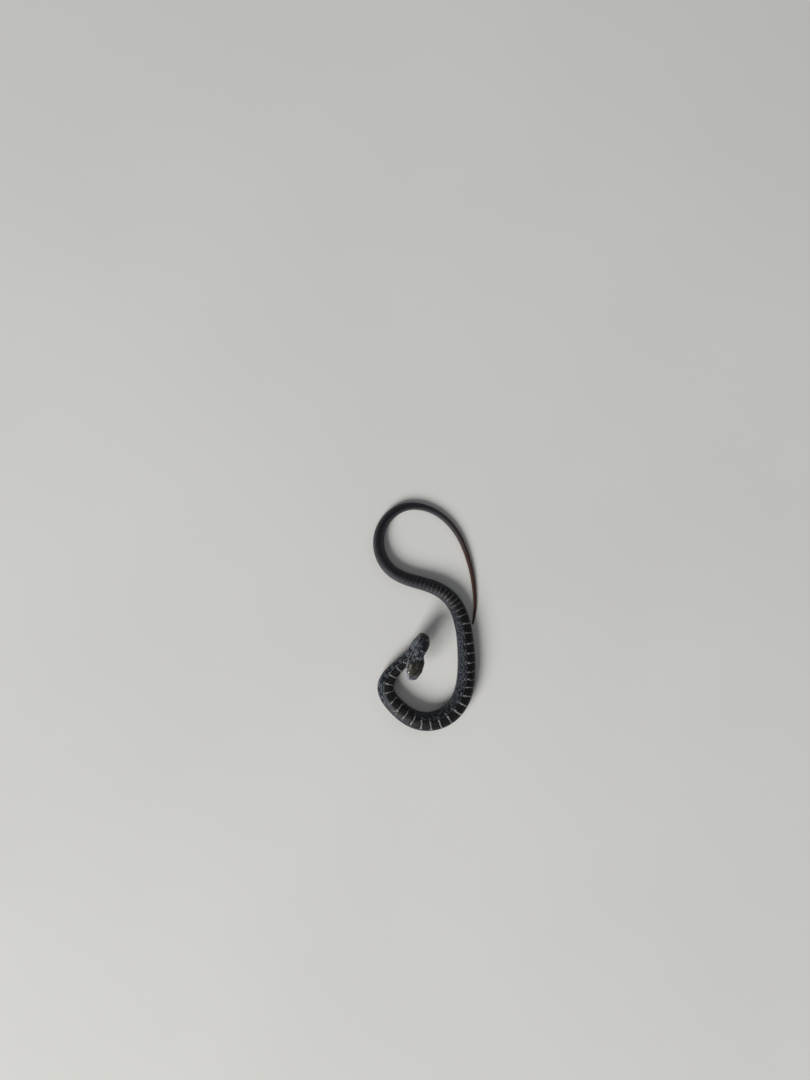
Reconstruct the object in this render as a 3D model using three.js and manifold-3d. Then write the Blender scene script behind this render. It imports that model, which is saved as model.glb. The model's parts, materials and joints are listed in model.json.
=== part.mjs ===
// A young racer snake at its real size, as a still museum model: the body lies on the floor in an open
// figure nine, the tail runs back to touch its own flank, and the neck is folded up with the head over it.
// Millimetres, +Z up. The origin is the middle of the snake's outline, on the floor.
import * as THREE from "three";
import { mergeVertices } from "three/addons/utils/BufferGeometryUtils.js";
import Module from "manifold-3d";

const wasm = await Module();
wasm.setup();

// Driving dimensions

const clearance = 0.3; // between neighbouring pieces
const bodySides = 24; // corners of one body ring
const tailSides = 16;

// The middle line from the head to the tip of the tail, as the snake lies. Lift is how far the neck is
// raised above the height at which the same girth would lie on the floor.
const route = [
  { x: -3.7, y: -23.0, lift: 8.9 }, // middle of the head
  { x: -3.6, y: -17.0, lift: 10.7 }, // nape
  { x: -2.4, y: -14.3, lift: 11.2 },
  { x: -1.1, y: -12.2, lift: 10.8 },
  { x: -0.6, y: -10.5, lift: 9.0 },
  { x: -1.3, y: -9.7, lift: 6.6 }, // top of the fold
  { x: -2.6, y: -10.8, lift: 4.4 },
  { x: -4.1, y: -13.3, lift: 3.2 },
  { x: -5.9, y: -16.5, lift: 2.6 },
  { x: -8.7, y: -19.7, lift: 2.1 },
  { x: -11.9, y: -22.8, lift: 1.5 },
  { x: -14.9, y: -25.8, lift: 0.9 },
  { x: -17.3, y: -29.1, lift: 0.4 },
  { x: -18.4, y: -32.8, lift: 0 }, // the neck leaves the floor
  { x: -17.5, y: -36.6, lift: 0 },
  { x: -14.0, y: -41.3, lift: 0 },
  { x: -8.3, y: -46.1, lift: 0 },
  { x: -1.0, y: -48.8, lift: 0 }, // foot of the nine
  { x: 6.4, y: -47.9, lift: 0 },
  { x: 12.7, y: -44.0, lift: 0 },
  { x: 16.9, y: -37.8, lift: 0 },
  { x: 18.9, y: -30.0, lift: 0 },
  { x: 19.3, y: -20.7, lift: 0 },
  { x: 18.7, y: -10.9, lift: 0 },
  { x: 16.9, y: -1.1, lift: 0 },
  { x: 13.2, y: 6.7, lift: 0 },
  { x: 7.4, y: 11.9, lift: 0 }, // middle of the nine
  { x: -0.1, y: 15.0, lift: 0 },
  { x: -8.4, y: 17.4, lift: 0 },
  { x: -15.8, y: 21.4, lift: 0 },
  { x: -20.4, y: 28.0, lift: 0 },
  { x: -21.6, y: 35.6, lift: 0 },
  { x: -19.7, y: 42.6, lift: 0 },
  { x: -15.1, y: 48.1, lift: 0 },
  { x: -9.0, y: 51.1, lift: 0 }, // top of the nine
  { x: -2.2, y: 51.2, lift: 0 },
  { x: 5.0, y: 48.6, lift: 0 },
  { x: 11.4, y: 43.5, lift: 0 },
  { x: 16.5, y: 36.3, lift: 0 },
  { x: 20.0, y: 27.7, lift: 0 },
  { x: 22.3, y: 18.4, lift: 0 },
  { x: 23.4, y: 8.9, lift: 0 },
  { x: 23.5, y: 2.3, lift: 0 },
  { x: 22.5, y: -4.1, lift: 0 }, // tip of the tail, against the flank
];
const napePoint = 1;

// Body width at distances from the nape
const girth = [
  [0, 5.7],
  [7, 5.8],
  [18, 5.3],
  [28, 5.6],
  [34, 6.6],
  [41, 7.6],
  [51, 7.9],
  [65, 8.6],
  [78, 8.9],
  [95, 8.7],
  [114, 8.0],
  [132, 7.3],
  [148, 6.4],
  [165, 5.8],
  [181, 5.3],
  [190, 4.8],
  [202, 4.1],
  [210, 3.4],
  [218, 3.0],
  [230, 2.7],
  [254, 2.0],
  [270, 1.4],
];
const tipWidth = 0.6;

// The cross-section, as shares of the body's width: a round back on a flat belly
const backRise = 0.46;
const bellyDepth = 0.4;
const flankFullness = 0.85;
const bellyRoundness = 0.9;
const bellyFlatness = 1.15;

// Which way the back faces along the raised neck, by distance from the nape
const backFacing = [
  { at: 0, toward: [0.52, 0.0, 0.85] },
  { at: 5, toward: [0.68, -0.1, 0.7] },
  { at: 11, toward: [0.88, -0.35, 0.3] },
  { at: 20, toward: [0.55, -0.6, 0.55] },
  { at: 30, toward: [0.25, -0.25, 0.95] },
  { at: 38, toward: [0, 0, 1] },
];

// Where the body is parted, as distances from the nape, and how close its rings stand
const lengths = [
  { name: "neck_upper", to: 4, step: 0.9, sides: bodySides, color: 0x3d4648 },
  { name: "neck_fold", to: 17, step: 0.8, sides: bodySides, color: 0x3a4246 },
  { name: "neck_lower", to: 34, step: 1.5, sides: bodySides, color: 0x343b40 },
  { name: "trunk_1", to: 58, step: 2, sides: bodySides, color: 0x30363b },
  { name: "trunk_2", to: 84, step: 2.1, sides: bodySides, color: 0x2d3338 },
  { name: "trunk_3", to: 112, step: 2.5, sides: bodySides, color: 0x30363b },
  { name: "trunk_4", to: 140, step: 2.4, sides: bodySides, color: 0x33393f },
  { name: "trunk_5", to: 170, step: 2.4, sides: bodySides, color: 0x363c42 },
  { name: "trunk_6", to: 188, step: 2.2, sides: bodySides, color: 0x34393e },
  { name: "trunk_7", to: 206, step: 2.2, sides: bodySides, color: 0x35383b },
  { name: "tail_1", to: 230, step: 2.2, sides: tailSides, color: 0x3a3634 },
  { name: "tail_2", to: 254, step: 2.6, sides: tailSides, color: 0x40342f },
  { name: "tail_3", to: Infinity, step: 2.2, sides: tailSides, color: 0x50342a },
];

// The head, measured back from the tip of the snout; heights are above the lips at the snout
const head = {
  length: 12.4,
  neckAxis: 0.15, // height of the neck's middle line at the nape
  width: [
    [0, 4.2],
    [1.5, 6.0],
    [3.4, 7.1],
    [5.2, 7.8],
    [7.4, 8.4],
    [9.2, 8.6],
    [10.8, 7.7],
    [12.4, 5.6],
  ],
  crown: [
    [0, 1.45],
    [1.2, 1.95],
    [3.2, 2.5],
    [5.2, 2.9],
    [7.4, 3.05],
    [10, 2.95],
    [12.4, 2.73],
  ],
  chin: [
    [0, 0.75],
    [1.5, 1.15],
    [4, 1.6],
    [7, 2.0],
    [9.6, 2.3],
    [12.4, 2.09],
  ],
  snoutRound: 1.8,
  squareness: 0.78, // how boxy the sides of the snout are; 1 is round
  boxyTo: 7,
  roundFrom: 12,
  chinFlatness: 1.05,
  underbite: { length: 0.35, reach: 1.2 }, // the lower jaw stops short of the snout
};
const mouth = {
  line: [
    [0, 0],
    [2.8, -0.12],
    [5.6, -0.2],
    [7.8, -0.02],
    [9.6, 0.25],
    [12.4, 0.15],
  ],
  corner: 9.9,
  cornerFade: 0.9,
  lipEdge: 0.12, // height of each lip's edge from the line
  groove: 0.22,
  lipSwell: 0.09,
};
const eye = { back: 5.2, out: 2.94, up: 1.2, length: 1.28, height: 1.1, depth: 1.0 }; // half sizes
const eyeTurn = 11; // degrees by which each eye looks forward, along the slope of the cheeks
const eyeClearance = 0.18;
const brow = { back: 5.1, reach: 1.7, angle: 47, spread: 13, swell: 0.42 }; // angles from the crown
const eyeRim = { radius: 1.32, width: 0.3, swell: 0.1 };
const lorealHollow = { back: 3.0, reach: 0.9, angle: 66, spread: 16, depth: 0.18 };
const nostril = { back: 1.15, up: 0.82, length: 0.3, height: 0.22, depth: 0.45 }; // half sizes
const chinGroove = { middle: 3.6, reach: 1.8, depth: 0.14 };

// How finely the head is divided
const headArc = 12; // steps from the crown to the lips, and from the lips to the chin
const snoutSteps = 7; // rings on the rounded tip of the snout
const faceStep = 0.36; // from one ring to the next as far back as the eyes
const cheekStep = 0.5; // and from there to the nape
const faceEnd = 7.2;
const eyeSides = 22;
const socketSides = 24;
const pitSides = 10;

const bodyRoughness = 0.5;

// Smooth lines through a few named values

// A line through [place, value] pairs that never swings past them
function steadyLine(pairs) {
  const slopes = pairs.slice(1).map((pair, i) => (pair[1] - pairs[i][1]) / (pair[0] - pairs[i][0]));
  const leans = pairs.map((pair, i) => {
    const before = slopes[i - 1];
    const after = slopes[i];
    if (before === undefined || after === undefined) return before ?? after;
    return before * after <= 0 ? 0 : (2 * before * after) / (before + after);
  });
  return (place) => {
    const last = pairs.length - 1;
    if (place <= pairs[0][0]) return pairs[0][1];
    if (place >= pairs[last][0]) return pairs[last][1];
    const i = pairs.findIndex((pair) => pair[0] > place) - 1;
    const span = pairs[i + 1][0] - pairs[i][0];
    const t = (place - pairs[i][0]) / span;
    const away = 1 + 2 * t;
    return (
      pairs[i][1] * away * (1 - t) ** 2 +
      leans[i] * span * t * (1 - t) ** 2 +
      pairs[i + 1][1] * t * t * (3 - 2 * t) +
      leans[i + 1] * span * t * t * (t - 1)
    );
  };
}

// A natural cubic spline through values at rising places, even in its second slope
function smoothLine(places, values) {
  const count = places.length;
  const bends = new Array(count).fill(0);
  const share = new Array(count).fill(0);
  for (let i = 1; i < count - 1; i++) {
    const before = places[i] - places[i - 1];
    const after = places[i + 1] - places[i];
    const weight = 2 * (before + after) - before * share[i - 1];
    const turn = (values[i + 1] - values[i]) / after - (values[i] - values[i - 1]) / before;
    share[i] = after / weight;
    bends[i] = (6 * turn - before * bends[i - 1]) / weight;
  }
  for (let i = count - 2; i > 0; i--) bends[i] -= share[i] * bends[i + 1];
  return (place) => {
    let i = places.findIndex((knot) => knot > place) - 1;
    if (i < 0) i = place < places[0] ? 0 : count - 2;
    const span = places[i + 1] - places[i];
    const far = (place - places[i]) / span;
    const near = 1 - far;
    return (
      near * values[i] +
      far * values[i + 1] +
      (((near ** 3 - near) * bends[i] + (far ** 3 - far) * bends[i + 1]) * span * span) / 6
    );
  };
}

// 1 at the middle, falling to nothing a reach or so away
function bump(value, middle, reach) {
  return Math.exp(-(((value - middle) / reach) ** 2));
}

// The middle line by distance from the nape

const knots = [0];
for (let i = 1; i < route.length; i++) {
  const [a, b] = [route[i - 1], route[i]];
  knots.push(knots[i - 1] + Math.hypot(b.x - a.x, b.y - a.y, b.lift - a.lift));
}
const alongX = smoothLine(knots, route.map((point) => point.x));
const alongY = smoothLine(knots, route.map((point) => point.y));
const raisedPoints = route.findIndex((point) => point.lift === 0) + 1;
const alongLift = smoothLine(
  knots.slice(0, raisedPoints),
  route.slice(0, raisedPoints).map((point) => point.lift),
);

function routePoint(knot) {
  const lift = knot < knots[raisedPoints - 1] ? Math.max(alongLift(knot), 0) : 0;
  return new THREE.Vector3(alongX(knot), alongY(knot), lift);
}

const fineStep = 0.1;
const distances = [[0, knots[napePoint]]];
let travelled = 0;
for (let knot = knots[napePoint]; knot < knots.at(-1); knot += fineStep) {
  const next = Math.min(knot + fineStep, knots.at(-1));
  travelled += routePoint(knot).distanceTo(routePoint(next));
  distances.push([travelled, next]);
}
const bodyLength = travelled;

function knotAt(distance) {
  const i = Math.min(distances.findIndex((pair) => pair[0] >= distance), distances.length - 1);
  if (i <= 0) return distances[i < 0 ? distances.length - 1 : 0][1];
  const [before, after] = [distances[i - 1], distances[i]];
  const share = (distance - before[0]) / (after[0] - before[0]);
  return before[1] + share * (after[1] - before[1]);
}

const widthAt = steadyLine([...girth, [bodyLength, tipWidth]]);

const backLines = [0, 1, 2].map((axis) =>
  steadyLine(backFacing.map((facing) => [facing.at, facing.toward[axis]])),
);

// The body's own directions at a distance from the nape: toward the tail, its back and its right side
function bodyFrame(distance) {
  const knot = knotAt(distance);
  const reach = 0.2;
  const tailward = routePoint(knot + reach).sub(routePoint(knot - reach)).normalize();
  const back = new THREE.Vector3(...backLines.map((line) => line(distance)));
  back.addScaledVector(tailward, -back.dot(tailward)).normalize();
  const right = new THREE.Vector3().crossVectors(back, tailward);
  const middle = routePoint(knot);
  middle.z += bellyDepth * widthAt(distance);
  return { middle, tailward, back, right };
}

// One corner of the cross-section at an angle from the back toward the right side
function sectionPoint(angle) {
  const side = 0.5 * Math.sign(Math.sin(angle)) * Math.abs(Math.sin(angle)) ** flankFullness;
  const rise = Math.cos(angle);
  if (rise >= 0) return { side: 0.5 * Math.sin(angle), up: backRise * rise };
  const depth = Math.min(1, bellyFlatness * Math.abs(rise) ** bellyRoundness);
  return { side, up: -bellyDepth * depth };
}

// A ring of corners round the body, flattened where it meets the floor
function bodyRing(distance, sides) {
  const frame = bodyFrame(distance);
  const width = widthAt(distance);
  return Array.from({ length: sides }, (_, i) => {
    const { side, up } = sectionPoint((2 * Math.PI * i) / sides);
    const corner = frame.middle.clone();
    corner.addScaledVector(frame.right, side * width).addScaledVector(frame.back, up * width);
    corner.z = Math.max(corner.z, 0);
    return corner;
  });
}

// Closed solids

function averagePoint(ring) {
  const sum = ring.reduce((total, corner) => total.add(corner), new THREE.Vector3());
  return sum.divideScalar(ring.length);
}

// Skins a row of rings into one closed solid. Each end closes on a point: the given one or the ring's middle.
function loft(rings, firstPoint, lastPoint) {
  const sides = rings[0].length;
  const corners = rings.flat();
  const first = corners.push(firstPoint ?? averagePoint(rings[0])) - 1;
  const last = corners.push(lastPoint ?? averagePoint(rings.at(-1))) - 1;
  const faces = [];
  for (let k = 0; k < sides; k++) {
    const next = (k + 1) % sides;
    faces.push(first, k, next);
    for (let i = 0; i < rings.length - 1; i++) {
      const [a, b] = [i * sides + k, i * sides + next];
      faces.push(a, a + sides, b, b, a + sides, b + sides);
    }
    const base = (rings.length - 1) * sides;
    faces.push(last, base + next, base + k);
  }
  const geometry = new THREE.BufferGeometry();
  geometry.setAttribute("position", new THREE.Float32BufferAttribute(corners.flatMap((c) => c.toArray()), 3));
  geometry.setIndex(faces);
  return geometry;
}

function toSolid(geometry) {
  const plain = geometry.clone();
  plain.deleteAttribute("normal");
  plain.deleteAttribute("uv");
  const merged = mergeVertices(plain);
  return new wasm.Manifold(
    new wasm.Mesh({
      numProp: 3,
      vertProperties: new Float32Array(merged.attributes.position.array),
      triVerts: new Uint32Array(merged.index.array),
    }),
  );
}

// The largest closed surface of a solid, as a geometry
function toGeometry(solid) {
  const pieces = solid.decompose().sort((a, b) => b.volume() - a.volume());
  const mesh = pieces[0].getMesh();
  const geometry = new THREE.BufferGeometry();
  geometry.setAttribute("position", new THREE.BufferAttribute(mesh.vertProperties, mesh.numProp));
  geometry.setIndex(new THREE.BufferAttribute(mesh.triVerts, 1));
  return geometry;
}

function ellipsoid(length, depth, height, sides) {
  return new THREE.SphereGeometry(1, sides, Math.round(sides * 0.7)).scale(length, depth, height);
}

// The head, in its own frame: +X toward the snout, +Y to its left, +Z through the crown, from the nape

const headWidth = steadyLine(head.width);
const headCrown = steadyLine(head.crown);
const headChin = steadyLine(head.chin);
const mouthLine = steadyLine(mouth.line);

function snoutRounding(back) {
  const share = Math.min(back / head.snoutRound, 1);
  return Math.sqrt(1 - (1 - share) ** 2);
}

// How far a corner on the head's side stands out from the plain section
function headRelief(back, angle, up) {
  const degrees = THREE.MathUtils.radToDeg(angle);
  const fromEye = Math.hypot(back - eye.back, up - eye.up);
  return (
    brow.swell * bump(back, brow.back, brow.reach) * bump(degrees, brow.angle, brow.spread) +
    eyeRim.swell * bump(fromEye, eyeRim.radius, eyeRim.width) -
    lorealHollow.depth *
      bump(back, lorealHollow.back, lorealHollow.reach) *
      bump(degrees, lorealHollow.angle, lorealHollow.spread)
  );
}

// The right half of the head's section, from the crown over the lips to the chin
function headHalf(back) {
  const round = snoutRounding(back);
  const half = 0.5 * headWidth(back) * round;
  const lips = mouthLine(back);
  const crown = (headCrown(back) - lips) * round;
  const chin = (headChin(back) + lips) * round;
  const rounding = THREE.MathUtils.smoothstep(back, head.boxyTo, head.roundFrom);
  const squareness = THREE.MathUtils.lerp(head.squareness, 1, rounding);
  const parted = 1 - THREE.MathUtils.smoothstep(back, mouth.corner - mouth.cornerFade, mouth.corner);
  const jawSetback = head.underbite.length * Math.exp(-back / head.underbite.reach);
  const lipEdge = mouth.lipEdge * round;
  const points = [];
  for (let i = 0; i < headArc; i++) {
    const angle = (Math.PI / 2) * (i / headArc);
    const up = lips + crown * Math.cos(angle) ** squareness;
    const out = half * Math.sin(angle) ** squareness;
    points.push({ out: out + round * headRelief(back, angle, up) * Math.sin(angle), up, setback: 0 });
  }
  const swell = mouth.lipSwell * parted * round;
  points.push({ out: half + swell, up: lips + lipEdge, setback: 0 });
  points.push({ out: half - mouth.groove * parted * round, up: lips, setback: jawSetback / 2 });
  points.push({ out: half + swell / 2, up: lips - lipEdge, setback: jawSetback });
  for (let i = 1; i <= headArc; i++) {
    const angle = (Math.PI / 2) * (i / headArc);
    const depth = Math.min(1, head.chinFlatness * Math.sin(angle) ** bellyRoundness);
    points.push({ out: half * Math.cos(angle) ** flankFullness, up: lips - chin * depth, setback: jawSetback });
  }
  const middle = points.at(-1);
  middle.out = 0;
  middle.up += chinGroove.depth * bump(back, chinGroove.middle, chinGroove.reach);
  return points;
}

function headPoint(back, left, up) {
  return new THREE.Vector3(head.length - back, left, up - head.neckAxis);
}

function headRing(back) {
  const half = headHalf(back);
  const right = half.map((point) => headPoint(back + point.setback, -point.out, point.up));
  const left = half.slice(1, -1).map((point) => headPoint(back + point.setback, point.out, point.up));
  return [...right, ...left.reverse()];
}

function headSolid() {
  const stations = [];
  for (let i = 1; i < snoutSteps; i++) {
    stations.push(head.snoutRound * (1 - Math.cos((Math.PI / 2) * (i / snoutSteps))));
  }
  for (let back = head.snoutRound; back < faceEnd; back += faceStep) stations.push(back);
  const nape = head.length - clearance / 2;
  const cheekSteps = Math.round((nape - faceEnd) / cheekStep);
  for (let i = 0; i <= cheekSteps; i++) stations.push(faceEnd + ((nape - faceEnd) * i) / cheekSteps);
  let solid = toSolid(loft(stations.map(headRing), headPoint(0, 0, mouthLine(0))));
  for (const side of [-1, 1]) {
    const socket = eyeball(side, eyeClearance, socketSides).translate(...eyePlace(side).toArray());
    const nostrilSide = side * 0.5 * headWidth(nostril.back) * snoutRounding(nostril.back);
    const pit = ellipsoid(nostril.length, nostril.depth, nostril.height, pitSides).translate(
      ...headPoint(nostril.back, nostrilSide, nostril.up).toArray(),
    );
    solid = solid.subtract(toSolid(socket)).subtract(toSolid(pit));
  }
  return toGeometry(solid);
}

function eyeball(side, extra, sides) {
  const ball = ellipsoid(eye.length + extra, eye.depth + extra, eye.height + extra, sides);
  return ball.rotateZ(-side * THREE.MathUtils.degToRad(eyeTurn));
}

function eyePlace(side) {
  return headPoint(eye.back, side * eye.out, eye.up);
}

// Assembly

const snake = new THREE.Group();

function addPiece(parent, name, geometry, finish) {
  const piece = new THREE.Mesh(geometry, new THREE.MeshStandardMaterial(finish));
  piece.name = name;
  parent.add(piece);
  return piece;
}

function bodyPiece(from, to, step, sides, closesOnTip) {
  const count = Math.max(2, Math.round((to - from) / step));
  const rings = [];
  for (let i = 0; i <= count; i++) rings.push(bodyRing(from + ((to - from) * i) / count, sides));
  return loft(rings, undefined, closesOnTip ? averagePoint(rings.at(-1)) : undefined);
}

let from = clearance / 2;
for (const length of lengths) {
  const isTip = length.to === Infinity;
  const to = isTip ? bodyLength : length.to - clearance / 2;
  const finish = { color: length.color, roughness: bodyRoughness, metalness: 0 };
  addPiece(snake, length.name, bodyPiece(from, to, length.step, length.sides, isTip), finish);
  from = length.to + clearance / 2;
}

const nape = bodyFrame(0);
const headGroup = new THREE.Group();
headGroup.position.copy(nape.middle);
headGroup.quaternion.setFromRotationMatrix(
  new THREE.Matrix4().makeBasis(nape.tailward.clone().negate(), nape.right.clone().negate(), nape.back),
);
addPiece(headGroup, "head", headSolid(), { color: 0x2e2c22, roughness: 0.45, metalness: 0 });
for (const [name, side] of [["eye_right", -1], ["eye_left", 1]]) {
  const finish = { color: 0x140d08, roughness: 0.08, metalness: 0 };
  const ball = addPiece(headGroup, name, eyeball(side, 0, eyeSides), finish);
  ball.position.copy(eyePlace(side));
}
snake.add(headGroup);

export default snake;
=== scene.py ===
"""A young racer snake at its real size: one skin, its scales, belly scutes and eyes, and the stage.

Sizes are in millimetres until a mesh is written. The route, the girth and the head repeat those of the solids
that the frame holds, so the skin lies just inside them and the scales come out to them.
"""

import json
import math

import bmesh
import bpy
import numpy as np
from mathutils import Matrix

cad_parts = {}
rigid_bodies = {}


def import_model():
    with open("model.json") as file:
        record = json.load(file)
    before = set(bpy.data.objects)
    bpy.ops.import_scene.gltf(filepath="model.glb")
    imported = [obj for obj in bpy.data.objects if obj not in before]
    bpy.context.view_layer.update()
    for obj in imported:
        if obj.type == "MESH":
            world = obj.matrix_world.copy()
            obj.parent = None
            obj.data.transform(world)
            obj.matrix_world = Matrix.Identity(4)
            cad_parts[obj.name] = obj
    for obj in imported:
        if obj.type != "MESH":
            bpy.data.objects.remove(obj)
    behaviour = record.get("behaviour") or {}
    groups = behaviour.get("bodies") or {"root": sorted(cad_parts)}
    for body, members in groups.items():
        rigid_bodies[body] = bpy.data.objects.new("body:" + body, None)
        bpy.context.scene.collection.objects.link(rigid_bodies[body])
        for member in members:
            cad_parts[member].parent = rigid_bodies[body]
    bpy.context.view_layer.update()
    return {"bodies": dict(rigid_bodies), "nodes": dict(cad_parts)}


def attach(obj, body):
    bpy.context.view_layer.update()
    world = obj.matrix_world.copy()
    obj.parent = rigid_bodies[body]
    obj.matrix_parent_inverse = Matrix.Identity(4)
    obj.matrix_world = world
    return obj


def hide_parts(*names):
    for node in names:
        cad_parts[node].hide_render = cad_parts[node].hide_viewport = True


bl_info = {
    "name": "Young Racer Snake",
    "version": (1, 0, 0),
    "blender": (4, 5, 0),
    "location": "3D View > Sidebar > Snake",
    "description": "Builds the skin, scales, belly scutes and eyes of a young racer snake on its solids",
    "category": "Object",
}

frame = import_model()

mm = 0.001
body_name = next(iter(frame["bodies"]))

# The middle line from the head to the tip of the tail: across, along and how far the neck is raised
route = [
    (-3.7, -23.0, 8.9),  # middle of the head
    (-3.6, -17.0, 10.7),  # nape
    (-2.4, -14.3, 11.2),
    (-1.1, -12.2, 10.8),
    (-0.6, -10.5, 9.0),
    (-1.3, -9.7, 6.6),  # top of the fold
    (-2.6, -10.8, 4.4),
    (-4.1, -13.3, 3.2),
    (-5.9, -16.5, 2.6),
    (-8.7, -19.7, 2.1),
    (-11.9, -22.8, 1.5),
    (-14.9, -25.8, 0.9),
    (-17.3, -29.1, 0.4),
    (-18.4, -32.8, 0.0),  # the neck leaves the floor
    (-17.5, -36.6, 0.0),
    (-14.0, -41.3, 0.0),
    (-8.3, -46.1, 0.0),
    (-1.0, -48.8, 0.0),  # foot of the nine
    (6.4, -47.9, 0.0),
    (12.7, -44.0, 0.0),
    (16.9, -37.8, 0.0),
    (18.9, -30.0, 0.0),
    (19.3, -20.7, 0.0),
    (18.7, -10.9, 0.0),
    (16.9, -1.1, 0.0),
    (13.2, 6.7, 0.0),
    (7.4, 11.9, 0.0),  # middle of the nine
    (-0.1, 15.0, 0.0),
    (-8.4, 17.4, 0.0),
    (-15.8, 21.4, 0.0),
    (-20.4, 28.0, 0.0),
    (-21.6, 35.6, 0.0),
    (-19.7, 42.6, 0.0),
    (-15.1, 48.1, 0.0),
    (-9.0, 51.1, 0.0),  # top of the nine
    (-2.2, 51.2, 0.0),
    (5.0, 48.6, 0.0),
    (11.4, 43.5, 0.0),
    (16.5, 36.3, 0.0),
    (20.0, 27.7, 0.0),
    (22.3, 18.4, 0.0),
    (23.4, 8.9, 0.0),
    (23.5, 2.3, 0.0),
    (22.5, -4.1, 0.0),  # tip of the tail
]
nape_point = 1

# Body width at distances from the nape
girth = [(0, 5.7), (7, 5.8), (18, 5.3), (28, 5.6), (34, 6.6), (41, 7.6), (51, 7.9), (65, 8.6)]
girth += [(78, 8.9), (95, 8.7), (114, 8.0), (132, 7.3), (148, 6.4), (165, 5.8), (181, 5.3), (190, 4.8)]
girth += [(202, 4.1), (210, 3.4), (218, 3.0), (230, 2.7), (254, 2.0), (270, 1.4)]
tip_width = 0.6
spine_length = 1.5  # the bare, pointed scale that ends the tail

# The cross-section, as shares of the width
back_rise = 0.46
belly_depth = 0.4
flank_fullness = 0.85
belly_roundness = 0.9
belly_flatness = 1.15

# Which way the back faces along the raised neck
back_facing = [
    (0, (0.52, 0.0, 0.85)),
    (5, (0.68, -0.1, 0.7)),
    (11, (0.88, -0.35, 0.3)),
    (20, (0.55, -0.6, 0.55)),
    (30, (0.25, -0.25, 0.95)),
    (38, (0.0, 0.0, 1.0)),
]

# The head, measured back from the snout; heights are above the lips at the snout
head_length = 12.4
neck_axis = 0.15
head_widths = [(0, 4.2), (1.5, 6.0), (3.4, 7.1), (5.2, 7.8)]
head_widths += [(7.4, 8.4), (9.2, 8.6), (10.8, 7.7), (12.4, 5.6)]
head_crowns = [(0, 1.45), (1.2, 1.95), (3.2, 2.5), (5.2, 2.9), (7.4, 3.05), (10, 2.95), (12.4, 2.73)]
head_chins = [(0, 0.75), (1.5, 1.15), (4, 1.6), (7, 2.0), (9.6, 2.3), (12.4, 2.09)]
lip_lines = [(0, 0), (2.8, -0.12), (5.6, -0.2), (7.8, -0.02), (9.6, 0.25), (12.4, 0.15)]
snout_round = 1.8
snout_squareness = 0.78
boxy_to = 7.0
round_from = 12.0
chin_flatness = 1.05
underbite = 0.35
underbite_reach = 1.2
underbite_blend = 0.12  # height over which the chin's setback fades in below the lips
mouth_corner = 9.9
corner_fade = 0.9
eye_centre = {"back": 5.2, "out": 2.94, "up": 1.2}
eye_half = np.array([1.28, 1.0, 1.1])  # along the head, outward and up
eye_turn = 11.0  # degrees by which each eye looks forward
brow = {"back": 5.1, "reach": 1.7, "angle": 47.0, "spread": 13.0, "swell": 0.42}
eye_rim = {"radius": 1.32, "width": 0.3, "swell": 0.1}
loreal_hollow = {"back": 3.0, "reach": 0.9, "angle": 66.0, "spread": 16.0, "depth": 0.18}
nostril = {"back": 1.15, "up": 0.82, "reach": 0.2, "turn": 1.1, "depth": 0.4}

# The finer forms of the head, in the skin only; an eye's are in shares of its own half size
mouth_groove = {"depth": 0.2, "reach": 0.06}
lip_swell = {"height": 0.04, "from_mouth": 0.2, "reach": 0.12}
shield_groove_width = 0.1
mouth_calm = {"share": 0.6, "reach": 0.1}  # how much shallower the grooves are by the mouth
eye_socket = {"depth": 0.45, "from": 0.8, "to": 1.0}
eyelid = {"height": 0.06, "at": 1.13, "reach": 0.08}

# How the snake is rolled: degrees from the top of the section to the middle of the back, + to its right
back_roll = [(0, 0), (30, 0), (38, 30), (50, 28), (60, 0), (70, -22), (90, -34), (100, -40), (120, -38)]
back_roll += [(128, -22), (136, -8), (146, 3), (170, 0)]

# The scales: length of one body segment, rows on each side of the back, and how far round they reach
segment_lengths = [(-4, 0.8), (0, 0.9), (20, 1.0), (40, 1.2), (80, 1.42)]
segment_lengths += [(130, 1.3), (170, 1.15), (206, 1.0), (230, 0.8), (277, 0.45)]
side_rows = [(-4, 8), (140, 8), (156, 7), (198, 7), (210, 5), (222, 4), (245, 3), (268, 2)]
row_reach = [(-4, 128), (200, 128), (215, 120), (277, 116)]
vent = 206.0
coat_start = -2.4
root_depth = 0.125  # how far a scale's root lies under the surface of the solids
tip_depth = 0.03
least_scale = 0.3  # a shorter one is left out
least_gap = 0.05  # between rows, for working out how far a scale bends
lowest = 0.01  # the scales' own height over the floor
edge_slack = 0.2  # share of a row that may be missing for its scales still to be laid
# A scale of unit length: pairs of how far along it and half its width there, and its columns of points
scale_outline = [(0.0, 0.34), (0.28, 0.47), (0.55, 0.5), (0.8, 0.36), (0.94, 0.18)]
scale_columns = [-1.0, -0.55, 0.0, 0.55, 1.0]
crest_power = 2.4  # how full a scale's dome is toward its sides
crest_root = 0.35  # least share of its height along the middle
crest_lead = 0.15  # how far its highest place lies before its middle

# The scutes: how far they overlap, how round their free edge is, and how they rise from root to edge
scute_overlap = 1.5
scute_round = 0.16
scute_root = -0.1
scute_rise = 0.085
scute_thickness = 0.07
scute_tuck = 3  # degrees by which they reach under the lowest row of scales
scute_gap = 1  # degrees from the middle of the tail's underside to each of a pair
scute_sharp = 50  # degrees between faces that meet in a sharp edge
last_scute = 0.5  # how far before the tail's last scale the scutes end

# The markings: millimetres from one saddle to the next
saddle_steps = [(-4, 3.2), (28, 4.2), (44, 4.9), (54, 4.5), (64, 4.0), (83, 4.45), (98, 3.5), (106, 4.1)]
saddle_steps += [(116, 4.7), (125, 4.2), (131, 2.6), (140, 1.95), (277, 1.9)]
saddle_start = 0.08

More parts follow.
